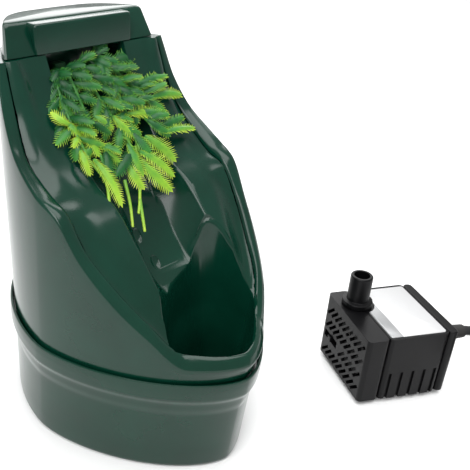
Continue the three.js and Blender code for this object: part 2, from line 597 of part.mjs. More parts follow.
const COIL_R = 33;               // radius at the middle of the turns
const COIL_HALF = 9.4;
const COIL_LOW = 1.2;
const COIL_HIGH = 13.6;
const RUN_END = glandEnd + 46;   // where the cord meets the coil's outermost turn
const COIL_AT = [COIL_R + COIL_HALF + cordHalf + GAP, RUN_END];
const floorZ = cordHalf + 0.2;
const cordRoute = [
  [0, CAP_FRONT + 1, CORD_Z], [0, PUMP_BACK + 12, CORD_Z], [0, glandEnd, CORD_Z],
  [0, glandEnd + 8, CORD_Z - 1.6], [0, glandEnd + 16, CORD_Z - 6.5], [0, glandEnd + 26, CORD_Z - 14.4],
  [0, glandEnd + 35, floorZ + 1.6], [0, RUN_END, floorZ],
];
const cordCurve = new THREE.CatmullRomCurve3(cordRoute.map(([x, y, z]) => vec(x, y, z)));
addTo(pump, 'power_cord', pipe(cordCurve, cordHalf, 0, 22, 4), BLACK());

const coil = turned([
  [COIL_R - COIL_HALF, COIL_LOW], [COIL_R + COIL_HALF, COIL_LOW], [COIL_R + COIL_HALF, COIL_HIGH],
  [COIL_R - COIL_HALF, COIL_HIGH], [COIL_R - COIL_HALF, COIL_LOW]], 32);
coil.translate(COIL_AT[0], COIL_AT[1], 0);
addTo(pump, 'cord_coil', coil, BLACK());

// Band round the bundle of turns.
function cordTie() {
  const [x, y] = [COIL_AT[0] + COIL_R, COIL_AT[1]];
  const side = COIL_HALF + 0.6;
  return cut(
    box(x - side - 1.2, x + side + 1.2, y - 4, y + 4, COIL_LOW - 1.1, COIL_HIGH + 1.1),
    box(x - side, x + side, y - 5, y + 5, COIL_LOW - GAP, COIL_HIGH + GAP));
}
addTo(pump, 'cord_tie', toGeometry(cordTie()), RUBBER());

// Plug with two flat pins, lying beside the coil.
const PLUG_Z = 8;
const PLUG_END = COIL_AT[0] + 50;
const plugLine = COIL_AT[1] + COIL_R + COIL_HALF + 4.9;
const pinBox = (y, x0, grow) => box(
  x0, PLUG_END + 17, plugLine + y - 0.75 - grow, plugLine + y + 0.75 + grow,
  PLUG_Z - 3.15 - grow, PLUG_Z + 3.15 + grow);
const plugTail = turned([[0, 0], [3.6, 0], [4.6, 26], [0, 26]], 14).rotateY(Math.PI / 2);
const plugBody = join(
  toSolid(plugTail.translate(COIL_AT[0], plugLine, PLUG_Z)),
  box(PLUG_END - 24.5, PLUG_END, plugLine - 11, plugLine + 11, 1, 15));
addTo(pump, 'plug_body', toGeometry(cut(plugBody, pinBox(-6.35, PLUG_END - 4.1, 0.1),
  pinBox(6.35, PLUG_END - 4.1, 0.1))), BLACK());
[-6.35, 6.35].forEach((y, i) => {
  addTo(pump, `plug_pin_${i + 1}`, toGeometry(pinBox(y, PLUG_END - 4, 0)), STEEL());
});

export default group;
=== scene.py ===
"""Looks of a small waterfall drinking fountain and the submersible pump beside it.

Built in millimetres in the CAD's frame and stored in metres.
"""

import json
import math
import random

import bmesh
import bpy
from mathutils import Matrix, Vector
from mathutils.bvhtree import BVHTree


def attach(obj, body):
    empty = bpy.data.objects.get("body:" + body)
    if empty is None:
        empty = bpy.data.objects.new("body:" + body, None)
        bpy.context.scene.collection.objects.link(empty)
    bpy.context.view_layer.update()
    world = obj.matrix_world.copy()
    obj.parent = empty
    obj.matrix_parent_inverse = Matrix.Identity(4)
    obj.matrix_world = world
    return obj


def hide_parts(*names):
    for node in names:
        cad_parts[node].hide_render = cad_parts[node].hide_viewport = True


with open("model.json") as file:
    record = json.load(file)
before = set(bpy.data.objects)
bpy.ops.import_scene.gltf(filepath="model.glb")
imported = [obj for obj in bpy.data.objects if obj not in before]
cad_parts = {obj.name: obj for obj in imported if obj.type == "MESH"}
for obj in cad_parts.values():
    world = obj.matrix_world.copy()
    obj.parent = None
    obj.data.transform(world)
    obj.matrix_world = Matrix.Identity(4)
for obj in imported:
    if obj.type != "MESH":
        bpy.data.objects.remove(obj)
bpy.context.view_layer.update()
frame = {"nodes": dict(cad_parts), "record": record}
MM = 0.001

# ------------------------------------------------------------------ camera
camera = bpy.data.objects.new("camera", bpy.data.cameras.new("camera"))
bpy.context.collection.objects.link(camera)
RIGHT = Vector((0.7798, -0.6261, 0.0))
FORWARD = Vector((0.5492, 0.6841, -0.48))
UP = RIGHT.cross(FORWARD).normalized()
AWAY = -FORWARD.normalized()
RIGHT = UP.cross(AWAY).normalized()
camera.matrix_world = Matrix((
    (RIGHT.x, UP.x, AWAY.x, -0.1871),
    (RIGHT.y, UP.y, AWAY.y, -0.2332),
    (RIGHT.z, UP.z, AWAY.z, 0.2637),
    (0, 0, 0, 1)))
camera.data.sensor_width = 36
camera.data.lens = 49.52
camera.data.shift_x = 0.2166
camera.data.shift_y = -0.0013
camera.data.clip_start = 0.01
bpy.context.scene.camera = camera

# ------------------------------------------------------------------ the CAD's sizes, mm
WALL = 2.4
GAP = 0.3
TUB_TOP = 60.3
TOWER_TOP = 206.0
SEAM = 190.3
SKIRT = 50.0
LEDGE = SKIRT - GAP
TUB_FLOOR = 2.6
TUB_BOTTOM = (62.1, 81.3, 76.9, 3.9, 1.56, 1.9)
TUB_WALL_TOP = (61.6, 82.2, 82.8, -1.9, 1.56, 1.9)
TOWER_LOW = (61.5, 82.1, 82.7, -1.9, 1.56, 1.9)
TOWER_HIGH = (55.6, 123.0, 79.5, -1.6, 1.46, 2.2)
FLARE = ((0, 0), (38, 0), (43, 0.8), (47, 1.3), (51, 2.6), (55, 2.6), (60.3, 2.2))
RIM = (
    (-90, 69.5, 4, 3.6), (-72, 69.5, 6, 5), (-58.5, 85, 5.2, 5), (-44, 100, 6.4, 3.9),
    (-28.6, 116.8, 6, 2.2), (-15, 134.7, 7.5, 0), (-3.6, 140, 8.6, -1.5), (5, 144.7, 7.9, -2),
    (18, 153.3, 6, -2), (30, 169.3, 5.6, -2), (37, 187, 4.2, -1.2), (41, 197, 3.6, -1), (90, 198, 3.6, -1))
BANK = (
    (-90, 73), (-75, 74), (-63, 81), (-47, 100), (-30, 117), (-16, 129.5), (0, 137.5),
    (18, 155.6), (30, 174), (37, 189), (45, 206), (90, 212))
CHANNEL = (
    (-47, 87.5, 13, 22), (-36, 90, 13, 22), (-30, 92.5, 13, 22), (-18, 104, 12, 22),
    (-5.5, 120, 11.5, 22), (10, 133, 13, 22.5), (30, 147, 19, 23.5), (50, 160, 22.5, 24))
WELL = (
    (13, -30), (22, -30), (27, -36.5), (30, -48), (30.5, -60), (23, -67), (16, -73), (9, -78.5),
    (0, -81.5), (-9, -78.5), (-16, -73), (-23, -67), (-28, -62.5), (-22, -47), (-11, -41), (-2, -35))
WELL_MID = (0, -55)
WELL_TAPER = ((13, 0.8, 0.64), (50, 0.9, 0.74), (73, 1, 1), (150, 1, 1))
WELL_FLOOR = 13.0
COVER_TOP = ((41.3, 44.7), (38.5, 50), (33.5, 58), (27, 65), (17, 69), (0, 69.8))
COVER_FOOT = ((45, 38.3), (43.5, 44), (39, 53.5), (32, 63.5), (22, 70.5), (0, 73.2))
LIP_HALF = 29.0
LIP_FRONT = 37.2
LIP_TOP = 205.0
DIMPLES = ((-9.0, -15.0), (-5.5, -25.5))

PUMP_AT = (121.5, -87.5)
PUMP_TURN = math.radians(-118)
PUMP_BACK = 27.0
CORD_D = 6.0


def lerp(a, b, t):
    return a + (b - a) * t


def smooth(t):
    t = min(max(t, 0.0), 1.0)
    return t * t * (3 - 2 * t)


def along(table, at, k=1):
    """Smooth value of column k in a table of rows ordered by their first entry."""
    last = len(table) - 1
    if at <= table[0][0]:
        return table[0][k]
    if at >= table[last][0]:
        return table[last][k]
    i = 0
    while at > table[i + 1][0]:
        i += 1

    def slope(j):
        return (table[j + 1][k] - table[j][k]) / (table[j + 1][0] - table[j][0])

    def tangent(j):
        if j == 0:
            return slope(0)
        if j == last:
            return slope(last - 1)
        a, b = slope(j - 1), slope(j)
        return 0 if a * b <= 0 else 2 * a * b / (a + b)

    h = table[i + 1][0] - table[i][0]
    t = (at - table[i][0]) / h
    t2, t3 = t * t, t ** 3
    return ((2 * t3 - 3 * t2 + 1) * table[i][k] + (t3 - 2 * t2 + t) * h * tangent(i)
            + (3 * t2 - 2 * t3) * table[i + 1][k] + (t3 - t2) * h * tangent(i + 1))


def pump_point(x, y, z):
    c, s = math.cos(PUMP_TURN), math.sin(PUMP_TURN)
    return (PUMP_AT[0] + x * c - y * s, PUMP_AT[1] + x * s + y * c, z)


# ------------------------------------------------------------------ cord
def curve_piece(name, points, radius, material, body):
    data = bpy.data.curves.new(name, "CURVE")
    data.dimensions = "3D"
    data.bevel_depth = radius * MM
    data.bevel_resolution = 4
    data.use_fill_caps = True
    line = data.splines.new("POLY")
    line.points.add(len(points) - 1)
    for slot, p in zip(line.points, points):
        slot.co = (p[0] * MM, p[1] * MM, p[2] * MM, 1)
    line.use_smooth = True
    piece = bpy.data.objects.new(name, data)
    bpy.context.collection.objects.link(piece)
    data.materials.append(material)
    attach(piece, body)
    return piece


GLAND_END = PUMP_BACK + 24
COIL_R = 33.0
RUN_END = GLAND_END + 46
COIL_AT = (COIL_R + 9.4 + CORD_D / 2 + GAP, RUN_END)
LOW_TURN = 4.4
HIGH_TURN = LOW_TURN + CORD_D
PLUG_Z = 8.0
PLUG_LINE = COIL_AT[1] + COIL_R + 9.4 + 4.9
FLOOR_Z = CORD_D / 2 + 0.2
RUN = (
    (22, 24), (27, 24), (39, 24), (51, 24), (59, 22.4), (67, 17.5), (77, 9.6), (86, 4.8), (RUN_END, FLOOR_Z))


def cord_points():
    """Out of the gland, down to the floor, six turns in two layers, and into the plug's tail."""
    points = []
    for i in range(25):
        y = lerp(RUN[0][0], RUN_END, i / 24)
        points.append(pump_point(0, y, along(RUN, y)))
    radii = [39, 33, 27, 27, 33, 39, 39]
    steps = 36
    for i in range(1, int(6.25 * steps) + 1):
        turn = i / steps
        k = int(turn)
        part = turn - k
        cross = smooth((part - 0.8) / 0.2)
        radius = lerp(radii[min(k, 6)], radii[min(k + 1, 6)], cross)
        z = LOW_TURN if k < 3 else HIGH_TURN
        if k == 2:
            z = lerp(LOW_TURN, HIGH_TURN, cross)
        if turn < 0.2:
            radius = lerp(COIL_AT[0], 39, smooth(turn / 0.17))
            z = lerp(FLOOR_Z, LOW_TURN, smooth(turn / 0.1))
        if turn > 6:
            radius = lerp(39, PLUG_LINE - COIL_AT[1], smooth((turn - 6.02) / 0.23))
            z = lerp(HIGH_TURN, PLUG_Z, smooth((turn - 6.1) / 0.15))
        a = math.pi - turn * 2 * math.pi
        points.append(pump_point(COIL_AT[0] + radius * math.cos(a), COIL_AT[1] + radius * math.sin(a), z))
    for x in (3, 6, 9):
        points.append(pump_point(COIL_AT[0] + x, PLUG_LINE, PLUG_Z))
    return points


# ------------------------------------------------------------------ materials
class Nodes:
    """A few lines of help for building shader nodes."""

    def __init__(self, name):
        self.material = bpy.data.materials.new(name)
        self.material.use_nodes = True
        self.tree = self.material.node_tree
        self.shader = self.tree.nodes["Principled BSDF"]
        self.place = self.add("ShaderNodeTexCoord").outputs["Object"]

    def add(self, kind, **values):
        node = self.tree.nodes.new(kind)
        for key, value in values.items():
            if hasattr(node, key):
                setattr(node, key, value)
            else:
                node.inputs[key.replace("_", " ")].default_value = value
        return node

    def link(self, a, b):
        self.tree.links.new(a, b)

    def noise(self, scale, detail=3.0, rough=0.5, place=None):
        node = self.add("ShaderNodeTexNoise", Scale=scale, Detail=detail, Roughness=rough)
        self.link(place or self.place, node.inputs["Vector"])
        return node.outputs["Fac"]

    def ramp(self, value, stops):
        node = self.add("ShaderNodeValToRGB")
        self.link(value, node.inputs["Fac"])
        band = node.color_ramp
        while len(band.elements) < len(stops):
            band.elements.new(0.5)
        for element, (at, colour) in zip(band.elements, stops):
            element.position = at
            element.color = (*colour, 1)
        return node.outputs["Color"]

    def span(self, value, low, high):
        node = self.add("ShaderNodeMapRange")
        self.link(value, node.inputs["Value"])
        node.inputs["To Min"].default_value = low
        node.inputs["To Max"].default_value = high
        return node.outputs["Result"]

    def math(self, operation, a, b):
        node = self.add("ShaderNodeMath", operation=operation)
        for slot, value in zip(node.inputs, (a, b)):
            if isinstance(value, (int, float)):
                slot.default_value = value
            else:
                self.link(value, slot)
        return node.outputs[0]

    def bump(self, height, strength, distance):
        node = self.add("ShaderNodeBump")
        node.inputs["Strength"].default_value = strength
        node.inputs["Distance"].default_value = distance
        self.link(height, node.inputs["Height"])
        self.link(node.outputs["Normal"], self.shader.inputs["Normal"])


def plastic(name, dark, light, rough, grain=900.0, grain_depth=0.00002, wave=0.0, specular=0.5, coat=0.0):
    """Moulded plastic: slight mottling, uneven gloss, fine grain and a slow waviness of the surface."""
    n = Nodes(name)
    cloud = n.noise(35.0, 4.0, 0.6)
    n.link(n.ramp(cloud, ((0.3, dark), (0.7, light))), n.shader.inputs["Base Color"])
    n.link(n.span(n.noise(60.0, 5.0, 0.65), rough[0], rough[1]), n.shader.inputs["Roughness"])
    n.shader.inputs["Specular IOR Level"].default_value = specular
    n.shader.inputs["Coat Weight"].default_value = coat
    n.shader.inputs["Coat Roughness"].default_value = 0.12
    height = n.noise(grain, 2.0, 0.5)
    if wave:
        height = n.math("ADD", height, n.math("MULTIPLY", n.noise(22.0, 2.0, 0.4), wave))
    n.bump(height, 0.35, grain_depth)
    return n.material


def leaf_material():
    n = Nodes("leaf")
    tint = n.add("ShaderNodeAttribute", attribute_name="tint").outputs["Fac"]
    wobble = n.math("MULTIPLY", n.math("SUBTRACT", n.noise(260.0, 3.0), 0.5), 0.3)
    value = n.math("ADD", tint, wobble)
    colour = n.ramp(value, (
        (0.0, (0.004, 0.04, 0.012)), (0.3, (0.012, 0.1, 0.022)), (0.5, (0.05, 0.22, 0.03)),
        (0.72, (0.22, 0.42, 0.03)), (1.0, (0.5, 0.62, 0.06))))
    n.shader.inputs["Specular IOR Level"].default_value = 0.25
    n.link(colour, n.shader.inputs["Base Color"])
    n.link(n.span(n.noise(400.0, 3.0), 0.28, 0.5), n.shader.inputs["Roughness"])
    n.shader.inputs["Subsurface Weight"].default_value = 0.15
    n.shader.inputs["Subsurface Radius"].default_value = (0.0008, 0.0016, 0.0004)
    n.bump(n.noise(1500.0, 2.0), 0.4, 0.0001)
    return n.material


def metal(name, colour, rough, grain):
    n = Nodes(name)
    n.shader.inputs["Metallic"].default_value = 1.0
    lighter = tuple(min(1.0, c * 1.15) for c in colour)
    n.link(n.ramp(n.noise(grain, 4.0), ((0.35, colour), (0.65, lighter))), n.shader.inputs["Base Color"])
    n.link(n.span(n.noise(grain * 2, 3.0), rough - 0.08, rough + 0.08), n.shader.inputs["Roughness"])
    n.bump(n.noise(grain * 3, 2.0), 0.3, 0.00002)
    return n.material


GREEN = plastic("green_plastic", (0.001, 0.023, 0.013), (0.0018, 0.032, 0.0185), (0.13, 0.2), wave=1.3, specular=0.36)
BLACK = plastic("pump_black", (0.0025, 0.0025, 0.003), (0.005, 0.005, 0.0055), (0.3, 0.42), 1400.0, 0.00006,
                specular=0.16)
CORD = plastic("cord_black", (0.012, 0.012, 0.013), (0.02, 0.02, 0.021), (0.26, 0.36), 1200.0, 0.00003,
               specular=0.4)
RUBBER = plastic("rubber", (0.012, 0.012, 0.012), (0.02, 0.019, 0.018), (0.55, 0.75), 1600.0, 0.00006)
HOSE = plastic("hose", (0.22, 0.26, 0.24), (0.3, 0.34, 0.31), (0.18, 0.3))
WHITE = plastic("white_moulding", (0.62, 0.62, 0.58), (0.72, 0.72, 0.68), (0.35, 0.5))
MAGNET = plastic("ferrite", (0.03, 0.03, 0.032), (0.05, 0.05, 0.052), (0.45, 0.6), 1800.0, 0.00008)
LEAF = leaf_material()
STEEL = metal("steel", (0.6, 0.61, 0.62), 0.25, 700.0)
IRON = metal("laminated_iron", (0.2, 0.2, 0.21), 0.5, 500.0)
COPPER = metal("enamelled_copper", (0.55, 0.2, 0.07), 0.35, 900.0)


def label_material():
    """Blank silver foil with a darker band along its front edge."""
    n = Nodes("label_foil")
    split = n.add("ShaderNodeSeparateXYZ")
    n.link(n.place, split.inputs[0])
    back = (-math.sin(PUMP_TURN), math.cos(PUMP_TURN))
    run = n.math("ADD", n.math("MULTIPLY", split.outputs[0], back[0]),
                 n.math("MULTIPLY", split.outputs[1], back[1]))
    edge = (PUMP_AT[0] * back[0] + PUMP_AT[1] * back[1] - 6.0) * MM
    step = n.math("MULTIPLY", n.math("SUBTRACT", run, edge), 4000.0)
    step = n.math("ADD", step, n.math("MULTIPLY", n.noise(300.0), 0.02))
    n.link(n.ramp(step, ((0.0, (0.36, 0.365, 0.37)), (1.0, (0.86, 0.865, 0.87)))), n.shader.inputs["Base Color"])
    n.shader.inputs["Metallic"].default_value = 0.35
    n.link(n.span(n.noise(500.0, 4.0), 0.25, 0.38), n.shader.inputs["Roughness"])
    n.bump(n.noise(250.0, 3.0), 0.2, 0.00003)
    return n.material


LABEL = label_material()

SLOT_OF = {
    "green_shell": GREEN, "pump_black": BLACK, "rubber_black": RUBBER, "leaf": LEAF, "hose": HOSE,
    "steel": STEEL, "magnet": MAGNET, "impeller_white": WHITE, "iron": IRON, "copper": COPPER, "label": LABEL}
slot_of_node = {row["node"]: row["material_slot"] for row in frame["record"]["subparts"]}
body_of_node = {n: b for b, ns in frame["record"]["behaviour"]["bodies"].items() for n in ns}
for node_name, node in frame["nodes"].items():
    material = SLOT_OF[slot_of_node[node_name]]
    if not node.material_slots:
        node.data.materials.append(material)
    for spot in node.material_slots:
        spot.link = "OBJECT"
        spot.material = material


# ------------------------------------------------------------------ mesh helpers, in mm
def mesh_piece(name, points, faces, scale=MM):
    data = bpy.data.meshes.new(name)
    data.from_pydata([tuple(c * scale for c in p) for p in points], [], faces)
    data.update()
    piece = bpy.data.objects.new(name, data)
    bpy.context.collection.objects.link(piece)
    return piece


def loft(name, loops, start=None, end=None):
    """Closed body through a stack of equal loops, capped at both ends."""
    n = len(loops[0])
    points = [p for loop in loops for p in loop]
    for loop, middle in ((loops[0], start), (loops[-1], end)):
        points.append(middle or tuple(sum(p[k] for p in loop) / n for k in range(3)))
    first = len(loops) * n
    faces = []
    for r in range(len(loops) - 1):
        for i in range(n):
            j = (i + 1) % n
            faces.append((r * n + i, r * n + j, (r + 1) * n + j, (r + 1) * n + i))
    top = (len(loops) - 1) * n
    for i in range(n):
        j = (i + 1) % n
        faces.append((first, j, i))
        faces.append((first + 1, top + i, top + j))
    piece = mesh_piece(name, points, faces)
    bm = bmesh.new()
    bm.from_mesh(piece.data)
    bmesh.ops.recalc_face_normals(bm, faces=bm.faces)
    bm.to_mesh(piece.data)
    bm.free()
    return piece


def block(name, low, high):
    (x0, y0, z0), (x1, y1, z1) = low, high
    loops = [[(x0, y0, z), (x1, y0, z), (x1, y1, z), (x0, y1, z)] for z in (z0, z1)]
    return loft(name, loops)


def spun(name, profile, sides=96, place=None):
    """Body turned about Z from (radius, z) pairs that close on themselves or on the axis."""
    bm = bmesh.new()
    loops = []
    for r, z in profile:
        if r == 0:
            loops.append([bm.verts.new((0, 0, z))])
        else:
            loops.append([bm.verts.new((r * math.cos(a), r * math.sin(a), z))
                          for a in (2 * math.pi * i / sides for i in range(sides))])
    pairs = list(zip(loops, loops[1:]))
    if profile[0][0] > 0:
        pairs.append((loops[-1], loops[0]))
    for a, b in pairs:
        for i in range(sides):
            j = (i + 1) % sides
            ring = []
            for v in (a[i % len(a)], a[j % len(a)], b[j % len(b)], b[i % len(b)]):
                if v not in ring:
                    ring.append(v)
            if len(ring) > 2:
                bm.faces.new(ring)
    if place is not None:
        bm.transform(place)
    bm.transform(Matrix.Scale(MM, 4))
    bmesh.ops.recalc_face_normals(bm, faces=bm.faces)
    data = bpy.data.meshes.new(name)
    bm.to_mesh(data)
    bm.free()
    piece = bpy.data.objects.new(name, data)
    bpy.context.collection.objects.link(piece)
    return piece


def applied(piece):
    """Bakes a piece's modifiers into its mesh."""
    graph = bpy.context.evaluated_depsgraph_get()
    data = bpy.data.meshes.new_from_object(piece.evaluated_get(graph))
    piece.modifiers.clear()
    old = piece.data
    piece.data = data
    bpy.data.meshes.remove(old)
    return piece


def boolean(piece, operation, *tools):
    for tool in tools:
        modifier = piece.modifiers.new("boolean", "BOOLEAN")
        modifier.operation = operation
        modifier.solver = "MANIFOLD"
        modifier.object = tool
        applied(piece)
        bpy.data.objects.remove(tool)
    return piece


def cut(piece, *tools):
    return boolean(piece, "DIFFERENCE", *tools)


def join(piece, *tools):
    return boolean(piece, "UNION", *tools)


def tidy(piece, angle=35.0, bevel=0.0, segments=3, merge=0.01):
    """Merges stray vertices, rounds the edges and sets smooth shading."""
    bm = bmesh.new()
    bm.from_mesh(piece.data)
    bmesh.ops.remove_doubles(bm, verts=bm.verts, dist=merge * MM)
    bmesh.ops.dissolve_degenerate(bm, edges=bm.edges, dist=merge * MM)
    if bevel:
        bmesh.ops.dissolve_limit(bm, angle_limit=math.radians(1.0), verts=bm.verts, edges=bm.edges)
    bmesh.ops.recalc_face_normals(bm, faces=bm.faces)
    bm.to_mesh(piece.data)
    bm.free()
    if bevel:
        modifier = piece.modifiers.new("bevel", "BEVEL")
        modifier.width = bevel * MM
        modifier.segments = segments
        modifier.limit_method = "ANGLE"
        modifier.angle_limit = math.radians(32)
        applied(piece)
    for face in piece.data.polygons:
        face.use_smooth = True
    piece.data.set_sharp_from_angle(angle=math.radians(angle))
    if bevel:
        modifier = piece.modifiers.new("even_shading", "WEIGHTED_NORMAL")
        modifier.keep_sharp = True
        applied(piece)
    return piece


def finish(piece, material, body, *nodes):
    piece.data.materials.clear()
    piece.data.materials.append(material)
    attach(piece, body)
    if nodes:
        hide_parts(*nodes)
    return piece


def refined(node, bevel=0.0, angle=35.0, segments=2):
    """A copy of a CAD node with rounded edges and smooth shading that stands for it."""
    source = frame["nodes"][node]
    piece = bpy.data.objects.new(node + "_shape", source.data.copy())
    bpy.context.collection.objects.link(piece)
    tidy(piece, angle, bevel, segments)
    for spot in piece.material_slots:
        spot.link = "DATA"
    return finish(piece, SLOT_OF[slot_of_node[node]], body_of_node[node], node)


# ------------------------------------------------------------------ ovals
def oval_point(oval, inset, angle):
    half, front, back, mid, front_power, back_power = oval
    c, s = math.cos(angle), math.sin(angle)
    power = front_power if s < 0 else back_power
    reach = (front if s < 0 else back) - inset

    def bend(v):
        return math.copysign(abs(v) ** (2 / power), v)

    return (half - inset) * bend(c), mid + reach * bend(s)


def blend(low, high, t):
    return tuple(lerp(a, b, t) for a, b in zip(low, high))


def tub_oval(z):
    return blend(TUB_BOTTOM, TUB_WALL_TOP, z / TUB_TOP)


def tower_oval(z):
    return blend(TOWER_LOW, TOWER_HIGH, (z - TUB_TOP) / (TOWER_TOP - TUB_TOP))


def angles(count):
    return [2 * math.pi * i / count for i in range(count)]


FINE = 288


def oval_loop(oval, inset, z, count=FINE):
    return [(*oval_point(oval, inset, a), z) for a in angles(count)]


# ------------------------------------------------------------------ base tub
def base_tub():
    outside = [(0, 3), (0.12, 2), (0.5, 1.1), (1.1, 0.5), (1.9, 0.12), (3, 0), (12, 0), (20, 0), (28, 0), (34, 0)]
    outside += [(38 + i * 0.75, 0) for i in range(29)]
    outside += [(TUB_TOP - 0.5, 0.06), (TUB_TOP - 0.15, 0.25), (TUB_TOP, 0.6)]
    loops = [oval_loop(tub_oval(z), inset - along(FLARE, z), z) for z, inset in outside]
    inside = [(TUB_TOP, -1.3), (TUB_TOP - 0.2, -1.0), (TUB_TOP - 0.6, -0.9), (LEDGE, -0.6), (LEDGE, 3.3),
              (LEDGE - 0.3, 3.6), (40, 3.0), (30, WALL), (10, WALL + 0.2), (6, WALL + 0.5), (TUB_FLOOR + 1, WALL + 1.6),
              (TUB_FLOOR, WALL + 3.4)]
    loops += [oval_loop(tub_oval(z), inset, z) for z, inset in inside]
    tub = loft("tub", loops, (0, 0, 0), (0, 0, TUB_FLOOR))
    return finish(tidy(tub), GREEN, "base", "base_tub")


# ------------------------------------------------------------------ tower shell
CENTRE = (0, -8)


def crease(angle):
    """Place and height of the rim's outer crease at an angle."""
    z = 120
    for _ in range(40):
        place = oval_point(tower_oval(z), 0, angle)
        z = lerp(z, along(RIM, place[1]), 0.5)
    return place[1], z


def rim_profile(rise):
    """Rim section: (share of the width, height above the crease), rounded at both edges."""
    return ((0.0, -1.6), (0.012, -0.9), (0.05, -0.2), (0.12, 0.3), (0.24, rise * 0.38 + 0.72),
            (0.42, rise * 0.58 + 0.85), (0.6, rise * 0.75 + 0.8), (0.78, rise * 0.9 + 0.55),
            (0.9, rise * 0.97 + 0.2), (0.97, rise - 0.25), (1.03, rise - 0.9))


def tower_column(angle, inset, drop, bottom, fine):
    y, z = crease(angle)
    width, rise = along(RIM, y, 2), along(RIM, y, 3)
    column = []
    top_of_wall = z - 3
    for i in range(fine):
        h = lerp(bottom, top_of_wall, i / fine)
        column.append((*oval_point(tower_oval(h), inset, angle), h))
    for share, height in rim_profile(rise):
        px, py = oval_point(tower_oval(z), inset + share * (width - inset * 0.4), angle)
        column.append((px, py, z + height - drop))
    ex, ey = oval_point(tower_oval(z), inset * 0.6 + width + 0.7, angle)
    rim_height = z + rise
    count = 26
    for i in range(count):
        share = 0.8 * (i / (count - 1)) ** 1.25
        px, py = lerp(ex, CENTRE[0], share), lerp(ey, CENTRE[1], share)
        t = smooth(math.hypot(px - ex, py - ey) / 14)
        bank = lerp(rim_height - 2.4, along(BANK, py), t)
        slope = (along(BANK, py + 1) - along(BANK, py - 1)) / 2
        column.append((px, py, bank - drop * math.hypot(1, slope) * 0.85))
    return column


def tower_skin(name, inset, drop, bottom, count, fine):
    columns = [tower_column(a, inset, drop, bottom, fine) for a in angles(count)]
    loops = [[column[row] for column in columns] for row in range(len(columns[0]))]
    top = along(BANK, CENTRE[1]) - drop * 1.2
    return loft(name, loops, (*CENTRE, bottom), (*CENTRE, top))


def channel_body(name, grow, fine):
    """Body along the channel. The fine one has rounded inside corners and a flared mouth."""
    if fine:
        stops = [-47 + i * 1.4 for i in range(70)] + [50 + grow]
    else:
        stops = [row[0] for row in CHANNEL[:-1]] + [50 + grow]
    loops = []
    for y in stops:
        floor, foot, mouth = (along(CHANNEL, y, k) for k in (1, 2, 3))
        bank = along(BANK, y)
        top = max(bank, floor + 20) + 30
        spread = (mouth - foot) / max(bank - floor, 12)
        wide = min(mouth + spread * 8, foot + spread * (top - floor), 25) + grow
        low = foot + grow
        if fine:
            flare = 2.4 * (1 - smooth((y - 24) / 10))
            r = 2.2
            half = [(low - r, floor), (low - r * 0.5, floor + 0.25), (low - 0.25, floor + r * 0.45),
                    (low + spread * r, floor + r * 1.15), (mouth - 0.3, bank - 3.4), (mouth + flare * 0.05, bank - 2.2),
                    (mouth + flare * 0.2, bank - 1.2), (mouth + flare * 0.5, bank - 0.4),
                    (mouth + flare, bank + 0.12), (mouth + flare * 1.5, bank + 0.6), (max(wide, mouth + flare * 1.5), top)]
        else:
            half = [(low, floor - grow), (mouth + grow, bank - 1), (wide, top)]
        right = [(x, y, z) for x, z in half]
        left = [(-x, y, z) for x, z in reversed(half)]
        loops.append(right + left)
    return loft(name, list(reversed(loops)))


def well_outline(rounds):
    """The well's mouth, seen from above, with its corners cut round."""
    ring = [Vector(p) for p in WELL]
    for _ in range(rounds):
        cornered = []
        for i, p in enumerate(ring):
            q = ring[(i + 1) % len(ring)]
            cornered += [p.lerp(q, 0.2), p.lerp(q, 0.8)]
        ring = cornered
    return ring


def well_ring(outline, z, grow, heights=None):
    sx, sy = along(WELL_TAPER, z, 1), along(WELL_TAPER, z, 2)
    if heights is not None:
        sx = sy = 1
    ring = [Vector((WELL_MID[0] + (p.x - WELL_MID[0]) * sx, WELL_MID[1] + (p.y - WELL_MID[1]) * sy)) for p in outline]
    n = len(ring)
    loop = []
    for i, p in enumerate(ring):
        run = (ring[(i + 1) % n] - ring[i - 1]).normalized()
        loop.append((p.x - run.y * grow, p.y + run.x * grow, z if heights is None else heights[i] + z))
    return list(reversed(loop))


def well_cup(name, grow, zs):
    return loft(name, [well_ring(well_outline(0), z, grow) for z in zs])


def surface_heights(piece, outline):
    """Height of the shell's surface just outside each point of the well's mouth."""
    tree = BVHTree.FromObject(piece, bpy.context.evaluated_depsgraph_get())
    n = len(outline)
    heights = []
    for i, p in enumerate(outline):
        run = (outline[(i + 1) % n] - outline[i - 1]).normalized()
        found = []
        for out in (0.4, 1.2):
            hit = tree.ray_cast(Vector(((p.x - run.y * out) * MM, (p.y + run.x * out) * MM, 0.3)), Vector((0, 0, -1)))[0]
            found.append(hit.z / MM if hit else 73.0)
        heights.append(found[0])
    for _ in range(2):
        heights = [(heights[i - 1] + 2 * heights[i] + heights[(i + 1) % n]) / 4 for i in range(n)]
    return heights


